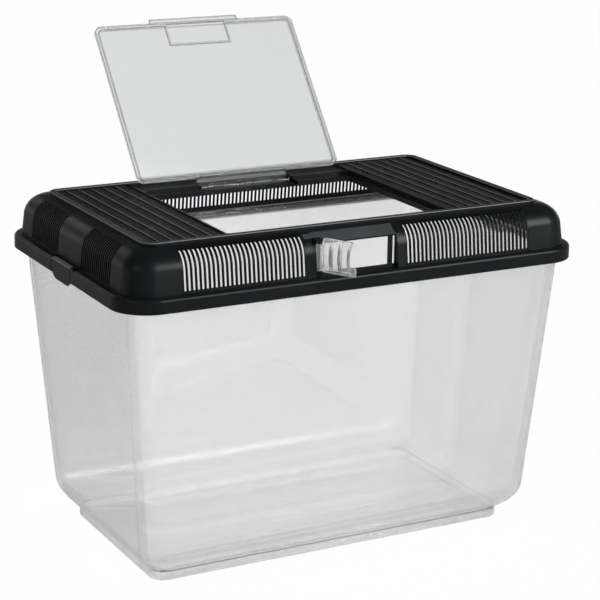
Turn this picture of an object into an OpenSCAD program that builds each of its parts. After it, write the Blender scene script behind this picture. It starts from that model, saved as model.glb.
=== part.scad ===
// Plastic pet keeper: a clear tank, a black vented lid, a clear trapdoor and three latches.
// X runs along the long side, Y to the back, Z up. The origin is the centre of the foot's underside.

/* [Tank] */
// Height of the tank's rim above the table
tank_top = 247.2; // [200:0.1:260]
// Length of the tank outside, at the rim
tank_w = 392.6; // [390:0.1:396]
// Depth of the tank outside, at the rim
tank_d = 243; // [240:0.1:246]
// Amount by which one side wall leans in, per millimetre of height
draft = 0.074; // [0.04:0.001:0.09]
// Wall thickness
wall = 2.2; // [1.6:0.1:3]
// Radius of the tank's upright corners
tank_r = 17; // [10:0.5:20]
// Length of the foot
foot_w = 329.6; // [300:0.1:335]
// Depth of the foot
foot_d = 172.2; // [150:0.1:176]
// Height of the foot
foot_h = 8.6; // [5:0.1:12]
// Radius of the foot's corners
foot_r = 12.6; // [8:0.1:18]
// Height over which the bottom rounds up into the side walls
belly_h = 25; // [18:0.5:28]

/* [Lid] */
// Length of the lid's flange, the longest size of the keeper
rim_w = 414; // [412:0.5:418]
// Depth of the lid's flange
rim_d = 264; // [262:0.5:268]
// Radius of the flange's corners
rim_r = 31; // [29:0.5:34]
// Height of the flange's lower edge above the table
skirt_z = 238; // [232:0.5:241]
// Height of the flange's top face above the table
flange_z = 250; // [249.5:0.1:251]
// Width of the ledge between the flange's edge and the dome's foot
ledge = 7; // [6.5:0.1:8]
// Distance by which the dome's walls lean in below the shoulder
lean = 1.7; // [0.5:0.1:2]
// Radius of the dome's upright corners at its foot
dome_r = 22; // [20:0.5:24]
// Radius of the dome's rounded shoulder
shoulder = 18.5; // [16:0.5:19]
// Height of the dome's flat top
top_z = 283.5; // [282:0.1:284]
// Shell thickness of the lid
shell = 1.8; // [1.4:0.1:2.2]
// Height of the raised border round the top
border_h = 2.5; // [1.5:0.1:3]
// Width of the raised border
border_w = 5.5; // [4:0.1:7]

/* [Grilles] */
// Distance from one slot to the next
slot_pitch = 3.77; // [3.6:0.01:3.8]
// Width of one slot
slot_w = 2; // [1.6:0.1:2.6]
// Number of slots across the whole rear
rear_slots = 83; // [61:2:83]
// Number of slots left of the front window
left_slots = 28; // [20:1:28]
// Number of slots right of the front window
right_slots = 31; // [20:1:31]
// Number of slots in each group on the two ends
end_slots = 16; // [10:1:17]
// Distance from one rib of the top panels to the next
rib_pitch = 11; // [10:0.1:11.4]

/* [Trapdoor] */
// Width of the trapdoor
door_w = 194; // [193:0.5:196]
// Length of the trapdoor from its hinge edge to its front edge
door_l = 154.3; // [150:0.1:156]
// Angle by which the trapdoor has turned back from closed
door_open = 128.8; // [0:0.1:128.8]
// Distance of the door, window and hinge from the lid's middle
door_x = -5; // [-6:0.1:-4]

/* [Latches] */
// Length of the front latch from its pin to its free edge
latch_l = 31; // [28:0.5:36]
// Height of the front latch
latch_h = 27.5; // [24:0.5:27.5]
// Angle by which the front latch has swung out
latch_open = 61.5; // [0:0.5:90]
// Width of a side latch
clip_w = 40; // [34:1:44]
// Height by which a side latch hangs below the flange
clip_drop = 4; // [2:0.5:6]

/* [Hidden] */
$fn = 64;
eps = 0.01;
clear_grey = [0.86, 0.88, 0.88, 0.45];
lid_black = [0.1, 0.11, 0.12];

// Tank levels: the belly rounds up from the foot to the leaning walls
belly_z = foot_h + belly_h;
belly_steps = 6;
belly_ledge = 0.5;
corner_facets = 32;
lip_h = 2.5;
lip_out = 3.5;
function wall_w(z) = tank_w - 2 * draft * (tank_top - z);
function wall_d(z) = tank_d - 2 * draft * (tank_top - z);

// Lid levels and outlines
dome_w = rim_w - 2 * (ledge + lean);
dome_d = rim_d - 2 * (ledge + lean);
plate_z = flange_z - 2.5;
shoulder_z = top_z - shoulder;
deck_w = dome_w - 2 * shoulder;
deck_d = dome_d - 2 * shoulder;
deck_r = 10.5;
corner_steps = 8;
deck_lap = 0.05;
lap = 0.2;
edge_round = 3;
skirt_t = 2.2;
border_in = 1;
border_wide = deck_w - 2 * border_in;
border_deep = deck_d - 2 * border_in;
field_d = border_deep - 2 * border_w;
field_x = border_wide / 2 - border_w;

// Slots run from just above the flange to a line on the rounded shoulder
slot_z = flange_z + 1.5;
slot_in = 11.3;
slot_margin = 3;
half_row = (rear_slots - 1) / 2 * slot_pitch;
left_end = -half_row + (left_slots - 1) * slot_pitch;
right_start = half_row - (right_slots - 1) * slot_pitch;
row_edge = half_row + slot_margin;
end_mid = 54;
end_half = (end_slots - 1) / 2 * slot_pitch;
end_to = end_mid + end_half + slot_margin;

// Recess and window in the front of the dome
recess_left = -42;
recess_right = 31.6;
recess_in = 3.3;
recess_slope = [12.8, 282.6];
window_x = -34;
window_w = 58.8;
window_z = 251.6;
window_top = 274.8;
recess_top = 276;
side_slot_x = 28.6;
side_slot_w = 2.4;

// Rebate that the closed trapdoor drops into, and the ledge that it rests on
rebate_w = 200;
rebate_front = -field_d / 2;
rebate_rear = 74;
rebate_r = 10;
rest_z = 281;
ledge_w = 191;
ledge_front = -81;
ledge_rear = 64;
ledge_r = 6;
lip_z = 276.6;
lip_t = 1.6;

// Trapdoor hinge, and the door's levels when it is closed
hinge_y = 77.2;
hinge_z = 280.5;
hinge_arm = 10.7;
pin_r = 2;
pin_gap = 0.05;
tongue_w = 87;
pin_reach = 7;
notch_gap = 1.5;
notch_rear = 84.3;
notch_floor = 277.7;
door_low = rest_z + 0.2;
door_high = door_low + 3.6;
door_rear = hinge_y - hinge_arm;
door_front = door_rear - door_l;
door_r = 7;
door_rim = 3.5;
tab_w = 86;
tab_l = 4.4;
pull_w = 60;
pull_l = 20;

// Front latch: an upright pin at the window's left and a bowed grip plate
latch_x = -39.5;
latch_y = -122.5;
latch_low = 254;
barrel_low = 254.8;
barrel_high = 276.2;
latch_pin_r = 1.2;
latch_bow = 5;
latch_t = 2;
latch_start = 5;
bow_r = (pow(latch_h / 2, 2) + pow(latch_bow, 2)) / (2 * latch_bow);

// Side latches: a flap in a gap of the skirt, hung on a pin along Y
clip_t = 2;
clip_gap = 0.5;
clip_pin_x = 203.8;
clip_pin_z = 249.3;
clip_pin_r = 1;
clip_barrel_r = 1.7;
clip_notch = 200.8;
lug_l = 4;

// Plain shapes shared by several pieces

module rounded(w, d, r) {
    square([w - 2 * r, d], center = true);
    square([w, d - 2 * r], center = true);
    for (x = [-1, 1], y = [-1, 1])
        translate([x * (w / 2 - r), y * (d / 2 - r)])
            circle(r);
}

module slab(z, h, w, d, r) {
    translate([0, 0, z])
        linear_extrude(h)
            rounded(w, d, r);
}

module block(from, to) {
    translate(from)
        cube(to - from);
}

// Sweeps a profile round a rounded rectangle; x = r in the profile is the outline
module swept(w, d, r) {
    for (turn = [0, 90, 180, 270]) {
        across = turn % 180 == 0 ? w : d;
        along = turn % 180 == 0 ? d : w;
        rotate([0, 0, turn]) {
            translate([across / 2 - r, along / 2 - r, 0])
                rotate([90, 0, 0])
                    linear_extrude(along - 2 * r)
                        children();
            translate([across / 2 - r, along / 2 - r, 0])
                rotate_extrude(angle = 90, $fn = 96)
                    children();
        }
    }
}

// Tank

module tank_levels(inset) {
    start_w = foot_w + 2 * belly_ledge;
    start_d = foot_d + 2 * belly_ledge;
    grow_w = wall_w(belly_z) - start_w;
    grow_d = wall_d(belly_z) - start_d;
    for (i = [0 : belly_steps]) {
        rise = i / belly_steps;
        bulge = 2 * rise - rise * rise;
        thick_w = inset * sqrt(1 + pow(grow_w * (1 - rise) / belly_h, 2));
        thick_d = inset * sqrt(1 + pow(grow_d * (1 - rise) / belly_h, 2));
        slab(foot_h + belly_h * rise, eps, start_w + grow_w * bulge - 2 * thick_w,
            start_d + grow_d * bulge - 2 * thick_d, tank_r - inset, $fn = corner_facets);
    }
}

module tank_body(inset, top) {
    hull() {
        tank_levels(inset);
        slab(top - eps, eps, wall_w(top) - 2 * inset, wall_d(top) - 2 * inset, tank_r - inset,
            $fn = corner_facets);
    }
}

module tank() {
    color(clear_grey)
        difference() {
            union() {
                slab(0, foot_h + 1, foot_w, foot_d, foot_r);
                tank_body(0, tank_top - 1);
                slab(tank_top - lip_h, lip_h, rim_w - 2 * lip_out, rim_d - 2 * lip_out, rim_r - lip_out);
            }
            slab(wall, foot_h + wall + 1, foot_w - 2 * wall, foot_d - 2 * wall, foot_r - wall);
            tank_body(wall, tank_top + 1);
        }
}

// Lid flange

module skirt_profile() {
    translate([rim_r - skirt_t, skirt_z])
        square([skirt_t, flange_z - edge_round - skirt_z]);
    intersection() {
        translate([rim_r - edge_round, flange_z - edge_round])
            circle(edge_round);
        translate([rim_r - edge_round, flange_z - edge_round])
            square(edge_round);
    }
}

module clip_lugs() {
    for (y = [-1, 1])
        translate([0, y * (clip_w / 2 + clip_gap + lug_l / 2), 0])
            block([clip_notch, -lug_l / 2, plate_z], [rim_w / 2 - 0.5, lug_l / 2, clip_pin_z + 1.9]);
}

module clip_space() {
    half = clip_w / 2 + clip_gap;
    block([clip_notch, -half, skirt_z - 1], [rim_w / 2 + 1, half, flange_z + 5]);
    translate([clip_pin_x, 0, clip_pin_z])
        rotate([90, 0, 0])
            cylinder(r = clip_pin_r + pin_gap, h = clip_w + 2 * clip_gap + 2 * lug_l - 2, center = true);
}

// The flange's hole, which keeps clear of the front recess
module flange_hole() {
    difference() {
        rounded(dome_w + 2 * (lean - shell), dome_d + 2 * (lean - shell), dome_r - shell);
        translate([recess_left - shell, -dome_d / 2 - 2])
            square([recess_right - recess_left + 2 * shell, recess_in + shell + 2]);
    }
}

module lid_flange() {
    color(lid_black)
        difference() {
            union() {
                translate([0, 0, plate_z])
                    linear_extrude(flange_z - plate_z)
                        difference() {
                            rounded(rim_w - 2 * edge_round, rim_d - 2 * edge_round, rim_r - edge_round);
                            flange_hole();
                        }
                swept(rim_w, rim_d, rim_r)
                    skirt_profile();
                clip_lugs();
                mirror([1, 0, 0])
                    clip_lugs();
            }
            clip_space();
            mirror([1, 0, 0])
                clip_space();
        }
}

// Lid dome: its profile has x = 0 where the wall meets the shoulder

module dome_solid(inset) {
    polygon([
        [-shoulder, flange_z],
        [lean - inset, flange_z],
        [-inset, shoulder_z],
        [-shoulder, shoulder_z]
    ]);
    intersection() {
        translate([-shoulder, shoulder_z])
            circle(shoulder - inset);
        translate([-shoulder, shoulder_z])
            square(shoulder);
    }
}

module dome_profile() {
    difference() {
        dome_solid(0);
        dome_solid(shell);
    }
}

// A straight run of dome wall. Turn 0 faces +X and runs along Y, and turn -90 faces the front.
module dome_run(turn, from, to) {
    reach = turn % 180 == 0 ? dome_w / 2 : dome_d / 2;
    rotate([0, 0, turn])
        translate([reach, to, 0])
            rotate([90, 0, 0])
                linear_extrude(to - from)
                    dome_profile();
}

// One level of a corner: a block from the nearest grilles to the walls, with its outer corner rounded
module corner_level(z, start, inset, r) {
    x = dome_w / 2 - inset - r;
    y = dome_d / 2 - inset - r;
    facets = corner_facets / 4;
    arc = [for (i = [0 : facets]) [x + r * cos(90 * i / facets), y + r * sin(90 * i / facets)]];
    translate([0, 0, z])
        linear_extrude(eps)
            polygon(concat([[start[0], start[1]], [x + r, start[1]]], arc, [[start[0], y + r]]));
}

module corner_solid(start, inset, drop) {
    wall_r = dome_r - 1 - inset;
    bend = shoulder - inset;
    hull() {
        corner_level(flange_z - drop, start, inset - lean, dome_r - inset);
        for (i = [0 : corner_steps]) {
            angle = 90 * i / corner_steps;
            corner_level(shoulder_z + bend * sin(angle) - eps, start,
                inset + (bend - deck_lap) * (1 - cos(angle)), wall_r + (deck_r - wall_r) * (1 - cos(angle)));
        }
    }
}

// A corner of the dome, whose radius shrinks from the foot to the deck
module corner() {
    start = [row_edge, end_to];
    difference() {
        corner_solid(start, 0, 0);
        corner_solid(start - [1, 1], shell, 1);
        slab(shoulder_z + 1, shoulder, deck_w, deck_d, deck_r, $fn = corner_facets);
    }
}

module slot_row(turn, first, count) {
    reach = turn % 180 == 0 ? dome_w / 2 : dome_d / 2;
    rotate([0, 0, turn])
        for (i = [0 : count - 1])
            translate([reach - slot_in, first + i * slot_pitch - slot_w / 2, slot_z])
                cube([slot_in + lean + 1, slot_w, top_z]);
}

module grille(turn, first, count, from, to) {
    color(lid_black)
        difference() {
            dome_run(turn, from, to);
            slot_row(turn, first, count);
        }
}

module end_grille(turn, middle) {
    grille(turn, middle - end_half, end_slots,
        middle - end_half - slot_margin, middle + end_half + slot_margin);
}

module recess_region(inset) {
    depth = recess_in + inset;
    polygon([
        [-shoulder, flange_z],
        [-depth, flange_z],
        [-depth, recess_top - inset / 2],
        [-recess_slope[0] - inset / 2, recess_slope[1] - inset],
        [-shoulder, top_z - inset]
    ]);
}

module front_run(from, to) {
    rotate([0, 0, -90])
        translate([dome_d / 2, to, 0])
            rotate([90, 0, 0])
                linear_extrude(to - from)
                    children();
}

module recess() {
    front_run(recess_left - lap, recess_right + lap)
        difference() {
            recess_region(0);
            recess_region(shell);
        }
    for (x = [recess_left - shell, recess_right])
        front_run(x, x + shell)
            difference() {
                dome_solid(0);
                recess_region(shell);
            }
}

module latch_lug(low, high) {
    translate([latch_x, latch_y, low])
        cylinder(r = 3.2, h = high - low);
    block([latch_x - 3.2, latch_y, low], [latch_x + 3.2, -dome_d / 2 + recess_in + 1, high]);
}

module lid_dome() {
    end_from = end_mid - end_half - slot_margin;
    color(lid_black)
        difference() {
            union() {
                for (turn = [0, 180])
                    rotate([0, 0, turn]) {
                        corner();
                        mirror([1, 0, 0])
                            corner();
                    }
                dome_run(-90, left_end + slot_margin, recess_left - shell + lap);
                recess();
                dome_run(-90, recess_right + shell - lap, right_start - slot_margin);
                for (turn = [0, 180])
                    dome_run(turn, -end_from, end_from);
                latch_lug(flange_z, barrel_low - 0.3);
                latch_lug(barrel_high + 0.3, barrel_high + 3.3);
                block([latch_x - 3.2, -dome_d / 2 + recess_in, barrel_high + 0.3],
                    [latch_x + 3.2, -dome_d / 2 + recess_in + 4, barrel_high + 3.3]);
            }
            block([window_x, -dome_d / 2, window_z], [window_x + window_w, -dome_d / 2 + 8, window_top]);
            block([side_slot_x, -dome_d / 2, window_z],
                [side_slot_x + side_slot_w, -dome_d / 2 + 8, window_top]);
            translate([latch_x, latch_y, flange_z + 2])
                cylinder(r = latch_pin_r + pin_gap, h = 30);
        }
}

// Lid top

module rebate_outline(grow) {
    deep = rebate_rear - rebate_front;
    translate([door_x, (rebate_rear + rebate_front) / 2])
        rounded(rebate_w + 2 * grow, deep + 2 * grow, rebate_r + grow);
}

module ledge_outline(grow) {
    deep = ledge_rear - ledge_front;
    translate([door_x, (ledge_rear + ledge_front) / 2])
        rounded(ledge_w + 2 * grow, deep + 2 * grow, ledge_r + grow);
}

module hinge_lug(side) {
    inner = tongue_w / 2 + notch_gap;
    translate([door_x + side * (inner + pin_reach / 2), 0, 0])
        block([-pin_reach / 2, hinge_y - 4.2, lip_z], [pin_reach / 2, notch_rear - 0.5, top_z]);
}

module panel_window(from, to) {
    block([from, -field_d / 2, top_z - shell - 1], [to, field_d / 2, top_z + 1]);
}

panel_left = [-field_x, door_x - rebate_w / 2 - 2];
panel_right = [door_x + rebate_w / 2 + 2, field_x];

module lid_top() {
    color(lid_black)
        difference() {
            union() {
                slab(top_z - shell, shell, deck_w, deck_d, deck_r, $fn = corner_facets);
                slab(top_z, border_h, border_wide, border_deep, deck_r);
                translate([0, 0, rest_z - lip_t])
                    linear_extrude(top_z - rest_z + lip_t)
                        rebate_outline(lip_t);
                translate([0, 0, lip_z])
                    linear_extrude(rest_z - lip_z)
                        ledge_outline(lip_t);
                hinge_lug(-1);
                hinge_lug(1);
                block([door_x - tongue_w / 2 - notch_gap - lip_t, ledge_rear, lip_z],
                    [door_x + tongue_w / 2 + notch_gap + lip_t, notch_rear + lip_t, top_z]);
            }
            difference() {
                slab(top_z, border_h + 1, 2 * field_x, field_d, 4);
                block([panel_left[1], -field_d / 2, top_z - 1],
                    [panel_left[1] + 2, field_d / 2, top_z + 1.2]);
                block([panel_right[0] - 2, -field_d / 2, top_z - 1],
                    [panel_right[0], field_d / 2, top_z + 1.2]);
            }
            panel_window(panel_left[0], panel_left[1]);
            panel_window(panel_right[0], panel_right[1]);
            translate([0, 0, rest_z])
                linear_extrude(20)
                    rebate_outline(0);
            translate([0, 0, lip_z - 1])
                linear_extrude(20)
                    ledge_outline(0);
            block([door_x - tongue_w / 2 - notch_gap, ledge_rear - 1, notch_floor],
                [door_x + tongue_w / 2 + notch_gap, notch_rear, top_z + 1]);
            translate([door_x, hinge_y, hinge_z])
                rotate([0, 90, 0])
                    cylinder(r = pin_r + pin_gap, h = tongue_w + 2 * pin_reach + 1, center = true);
        }
}

// Ribbed panels left and right of the trapdoor

module top_panel(from, to, first) {
    color(lid_black) {
        block([from, -field_d / 2, top_z - shell], [to, field_d / 2, top_z]);
        for (x = [first : rib_pitch : to - rib_pitch / 4])
            block([x - 0.7, -field_d / 2, top_z - shell / 2], [x + 0.7, field_d / 2, top_z + 1.2]);
    }
}

// Trapdoor, drawn closed and then turned about its hinge

module door_plate(z, h, inset) {
    translate([door_x, (door_front + door_rear) / 2, z])
        linear_extrude(h)
            rounded(door_w - 2 * inset, door_l - 2 * inset, door_r - inset);
}

module closed_door() {
    difference() {
        door_plate(door_low, door_high - door_low, 0);
        difference() {
            door_plate(door_low - 1, 2.2, door_rim);
            translate([door_x, door_front + door_rim + pull_l / 2, 0])
                block([-pull_w / 2, -pull_l / 2, door_low - 1], [pull_w / 2, pull_l / 2, door_high]);
        }
        translate([door_x, door_front + (pull_l + door_rim) / 2, 0])
            block([-pull_w / 2 + 1.6, -(pull_l + door_rim) / 2 + 2, door_low - 1],
                [pull_w / 2 - 1.6, (pull_l + door_rim) / 2 - 1.6, door_low + 1.2]);
        door_plate(door_high - 0.4, 2, door_rim);
    }
    block([door_x - tab_w / 2, door_front - tab_l, door_low + 0.9],
        [door_x + tab_w / 2, door_front + 1, door_high - 0.5]);
    block([door_x - tongue_w / 2, door_rear - 1, door_low + 0.2],
        [door_x + tongue_w / 2, hinge_y, door_low + 2.7]);
    translate([door_x, hinge_y, hinge_z])
        rotate([0, 90, 0]) {
            cylinder(r = 2.6, h = tongue_w, center = true);
            cylinder(r = pin_r, h = tongue_w + 2 * (pin_reach - 0.5), center = true);
        }
}

module trapdoor() {
    color(clear_grey)
        translate([0, hinge_y, hinge_z])
            rotate([-door_open, 0, 0])
                translate([0, -hinge_y, -hinge_z])
                    closed_door();
}

// Front latch, drawn closed along +X from its pin and then swung out

module bow_profile(outer, inner) {
    intersection() {
        difference() {
            translate([bow_r - latch_bow, 0])
                circle(outer);
            translate([bow_r - latch_bow, 0])
                circle(inner);
        }
        translate([-latch_bow - 2, -latch_h / 2])
            square([latch_bow + latch_t + 2, latch_h]);
    }
}

// One stretch of the bowed plate, between two distances from the pin
module bow_plate(from, to, proud) {
    translate([from, -0.7, latch_low + latch_h / 2])
        rotate([90, 0, 90])
            linear_extrude(to - from)
                bow_profile(bow_r + proud, bow_r - latch_t);
}

module front_latch() {
    color(clear_grey)
        translate([latch_x, latch_y, 0])
            rotate([0, 0, -latch_open]) {
                translate([0, 0, barrel_low])
                    cylinder(r = 2.2, h = barrel_high - barrel_low);
                translate([0, 0, barrel_low - 2])
                    cylinder(r = latch_pin_r, h = barrel_high - barrel_low + 4);
                block([0, -2.2, barrel_low], [latch_start + 1, -0.2, barrel_high]);
                bow_plate(latch_start, latch_l - 1.5, 0);
                for (x = [13, 21])
                    bow_plate(x, x + 2, 0.8);
                bow_plate(latch_l - 1.5, latch_l, 0.8);
                block([latch_l - 1, -3, latch_low + 1], [latch_l + 4.5, -1, latch_low + 8]);
            }
}

// Side latches

module side_latch() {
    low = skirt_z - clip_drop;
    outer = rim_w / 2;
    color(lid_black) {
        translate([outer - clip_t, 0, 0])
            rotate([90, 0, 90])
                linear_extrude(clip_t)
                    polygon([
                        [-clip_w / 2, skirt_z + 0.5],
                        [-clip_w / 2 + 7, low],
                        [clip_w / 2 - 7, low],
                        [clip_w / 2, skirt_z + 0.5],
                        [clip_w / 2, flange_z],
                        [-clip_w / 2, flange_z]
                    ]);
        block([clip_pin_x, -clip_w / 2, clip_pin_z - 1.2], [outer - 0.5, clip_w / 2, flange_z + 0.6]);
        block([clip_pin_x + 0.1, -clip_w / 2 + 6, skirt_z + 1.5],
            [outer - 0.5, clip_w / 2 - 6, skirt_z + 4.5]);
        translate([clip_pin_x, 0, clip_pin_z])
            rotate([90, 0, 0]) {
                cylinder(r = clip_barrel_r, h = clip_w, center = true);
                cylinder(r = clip_pin_r, h = clip_w + 2 * clip_gap + 2 * lug_l - 3, center = true);
            }
    }
}

tank();
lid_flange();
lid_dome();
lid_top();
grille(-90, -half_row, left_slots, -row_edge, left_end + slot_margin);  // front_grille_left
grille(-90, right_start, right_slots, right_start - slot_margin, row_edge);  // front_grille_right
grille(90, -half_row, rear_slots, -row_edge, row_edge);  // rear_grille
end_grille(180, end_mid);  // left_grille_front
end_grille(180, -end_mid);  // left_grille_rear
end_grille(0, -end_mid);  // right_grille_front
end_grille(0, end_mid);  // right_grille_rear
top_panel(panel_left[0], panel_left[1], panel_left[0] + rib_pitch);  // left_top_panel
top_panel(panel_right[0], panel_right[1], panel_right[0] + rib_pitch);  // right_top_panel
trapdoor();
front_latch();
side_latch();  // right_side_latch
mirror([1, 0, 0])  // left_side_latch
        side_latch();
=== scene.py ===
"""Looks of the plastic pet keeper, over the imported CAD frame.

Clear mouldings and a satin black lid with its slats, in a plain pale studio.
"""

from __future__ import annotations

import logging
import math
from collections.abc import Callable
from dataclasses import dataclass, field
from enum import Enum
from functools import partial

import bmesh
import bpy
from mathutils import Matrix, Vector


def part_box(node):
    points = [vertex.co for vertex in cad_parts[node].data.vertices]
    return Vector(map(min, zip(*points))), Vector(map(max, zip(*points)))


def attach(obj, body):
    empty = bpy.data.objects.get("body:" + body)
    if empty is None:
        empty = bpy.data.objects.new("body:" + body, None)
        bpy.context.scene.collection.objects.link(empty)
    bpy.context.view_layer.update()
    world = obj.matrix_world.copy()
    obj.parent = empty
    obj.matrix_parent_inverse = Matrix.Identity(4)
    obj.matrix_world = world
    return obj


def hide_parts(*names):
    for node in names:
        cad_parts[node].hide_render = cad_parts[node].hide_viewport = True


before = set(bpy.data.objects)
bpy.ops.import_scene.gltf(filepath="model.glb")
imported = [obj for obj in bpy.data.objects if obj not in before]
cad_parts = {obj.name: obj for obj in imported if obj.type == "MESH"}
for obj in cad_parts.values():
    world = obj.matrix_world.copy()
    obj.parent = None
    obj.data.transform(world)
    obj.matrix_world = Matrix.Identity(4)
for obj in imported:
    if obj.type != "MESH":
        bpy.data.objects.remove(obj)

Material, Object, Mesh = bpy.types.Material, bpy.types.Object, bpy.types.Mesh
Node, Socket, Tree = bpy.types.Node, bpy.types.NodeSocket, bpy.types.NodeTree
Point = tuple[float, float, float]
Flat = tuple[float, float]
Inputs = dict[str | int, object]

LOG = logging.getLogger("pet_keeper")
MM = 0.001  # in metres
PHOTO_SIDE = 600  # pixels
SENSOR_WIDTH = 36.0  # millimetres
CLIPPING = (0.01, 50.0)  # metres
WHITE = (1.0, 1.0, 1.0, 1.0)

MERGE_DISTANCE = 2e-6  # metres: nearer CAD points become one
FLAT_TURN = 0.4  # degrees: CAD faces that turn by less become one
SHARP_TURN = 35.0  # degrees: edges that turn by more may be rounded
SMOOTH_TURN = 38.0  # degrees: edges that turn by less are shaded smooth


class Body(Enum):
    """The CAD bodies that pieces ride on."""

    TANK = "tank"
    LID = "lid"
    TRAPDOOR = "trapdoor"
    FRONT_LATCH = "front_latch"
    LEFT_LATCH = "left_side_latch"
    RIGHT_LATCH = "right_side_latch"


class Slot(Enum):
    """The record's material slots."""

    CLEAR = "clear_plastic"
    BLACK = "black_plastic"


class Facing(Enum):
    """The side of the dome that a grille is in, as its turn about Z from the front, in degrees."""

    FRONT = 0
    RIGHT = 90
    REAR = 180
    LEFT = 270


@dataclass(frozen=True)
class LidSizes:
    """Sizes of the lid that several pieces share, in millimetres, as in the part's source."""

    rim_w: float = 414.0
    rim_d: float = 264.0
    ledge: float = 7.0
    lean: float = 1.7
    shoulder: float = 18.5
    flange_z: float = 250.0
    top_z: float = 283.5
    shell: float = 1.8
    slot_pitch: float = 3.77
    slot_w: float = 2.0
    slot_margin: float = 3.0

    @property
    def dome_w(self) -> float:
        """Length of the dome where its wall meets the shoulder."""
        return self.rim_w - 2 * (self.ledge + self.lean)

    @property
    def dome_d(self) -> float:
        """Depth of the dome where its wall meets the shoulder."""
        return self.rim_d - 2 * (self.ledge + self.lean)

    @property
    def shoulder_z(self) -> float:
        """Height at which the dome's wall starts to round over."""
        return self.top_z - self.shoulder


LID = LidSizes()


# -------- plain helpers


def rounded_outline(
    width: float, depth: float, radius: float, steps: int = 10, hold: float = 0.5
) -> list[Flat]:
    """Points round a rectangle with rounded corners, counter-clockwise.

    Args:
        width: size along X.
        depth: size along Y.
        radius: corner radius.
        steps: straight pieces in each corner's arc.
        hold: a short straight beside each arc, which keeps the sides' shading flat.

    Returns:
        The points, the same number whatever the sizes.
    """
    points: list[Flat] = []
    for corner in range(4):
        start = math.pi / 2 * corner
        sx = 1 if corner in (0, 3) else -1
        sy = 1 if corner in (0, 1) else -1
        cx, cy = sx * (width / 2 - radius), sy * (depth / 2 - radius)
        first = (cx + radius * math.cos(start), cy + radius * math.sin(start))
        last = (cx - radius * math.sin(start), cy + radius * math.cos(start))
        points.append((first[0] + hold * math.sin(start), first[1] - hold * math.cos(start)))
        for i in range(steps + 1):
            angle = start + math.pi / 2 * i / steps
            points.append((cx + radius * math.cos(angle), cy + radius * math.sin(angle)))
        points.append((last[0] - hold * math.cos(start), last[1] - hold * math.sin(start)))
    return points


def linked(name: str, data: bpy.types.ID) -> Object:
    """A new object in the scene, with this data."""
    obj = bpy.data.objects.new(name, data)
    bpy.context.scene.collection.objects.link(obj)
    return obj


@dataclass
class Shell:
    """A mesh in the making, in millimetres."""

    points: list[Point] = field(default_factory=list)
    faces: list[list[int]] = field(default_factory=list)

    def ring(self, outline: list[Flat], z: float) -> list[int]:
        """Adds an outline at height z and returns its point numbers."""
        start = len(self.points)
        self.points += [(x, y, z) for x, y in outline]
        return list(range(start, len(self.points)))

    def bridge(self, low: list[int], high: list[int]) -> None:
        """Joins two rings of the same length by quads."""
        count = len(low)
        for i in range(count):
            k = (i + 1) % count
            self.faces.append([low[i], low[k], high[k], high[i]])

    def loft(self, rings: list[list[int]]) -> None:
        """Joins a run of rings, one to the next."""
        for low, high in zip(rings, rings[1:]):
            self.bridge(low, high)

    def cap(self, ring: list[int]) -> None:
        """Closes a ring by one face."""
        self.faces.append(list(ring))

    def prism(self, profile: list[Flat], start: float, end: float) -> None:
        """Extrudes a profile of (y, z) points along X, closed at both ends.

        Args:
            profile: the outline, in order.
            start: X of the first end.
            end: X of the second end.
        """
        rings = []
        for x in (start, end):
            first = len(self.points)
            self.points += [(x, y, z) for y, z in profile]
            rings.append(list(range(first, len(self.points))))
        self.bridge(rings[0], rings[1])
        self.cap(rings[0][::-1])
        self.cap(rings[1])

    def turn(self, degrees: float) -> None:
        """Turns everything so far about Z."""
        spin = Matrix.Rotation(math.radians(degrees), 3, "Z")
        self.points = [tuple(spin @ Vector(p)) for p in self.points]

    def piece(self, name: str, material: Material, smooth: float = 32.0) -> Object:
        """Makes the object.

        Args:
            name: the object's name.
            material: its finish.
            smooth: edges that turn by less than this many degrees are shaded smooth.

        Returns:
            The object, at the origin, in metres.
        """
        mesh = bpy.data.meshes.new(name)
        mesh.from_pydata([tuple(c * MM for c in p) for p in self.points], [], self.faces)
        work = bmesh.new()
        work.from_mesh(mesh)
        bmesh.ops.recalc_face_normals(work, faces=work.faces)
        work.to_mesh(mesh)
        work.free()
        mesh.materials.append(material)
        mesh.shade_smooth()
        mesh.set_sharp_from_angle(angle=math.radians(smooth))
        return linked(name, mesh)


def baked(obj: Object) -> Object:
    """Turns an object's modifiers into plain mesh and returns the same object."""
    bpy.context.view_layer.update()
    graph = bpy.context.evaluated_depsgraph_get()
    mesh = bpy.data.meshes.new_from_object(obj.evaluated_get(graph), depsgraph=graph)
    old = obj.data
    obj.modifiers.clear()
    obj.data = mesh
    mesh.name = obj.name
    if old.users == 0:
        bpy.data.meshes.remove(old)
    return obj


def joined(name: str, pieces: list[Object]) -> Object:
    """Joins objects at the origin into a new one with the first one's finishes."""
    work = bmesh.new()
    for piece in pieces:
        work.from_mesh(piece.data)
    mesh = bpy.data.meshes.new(name)
    work.to_mesh(mesh)
    work.free()
    for material in pieces[0].data.materials:
        mesh.materials.append(material)
    for piece in pieces:
        data = piece.data
        bpy.data.objects.remove(piece)
        bpy.data.meshes.remove(data)
    return linked(name, mesh)


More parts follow.
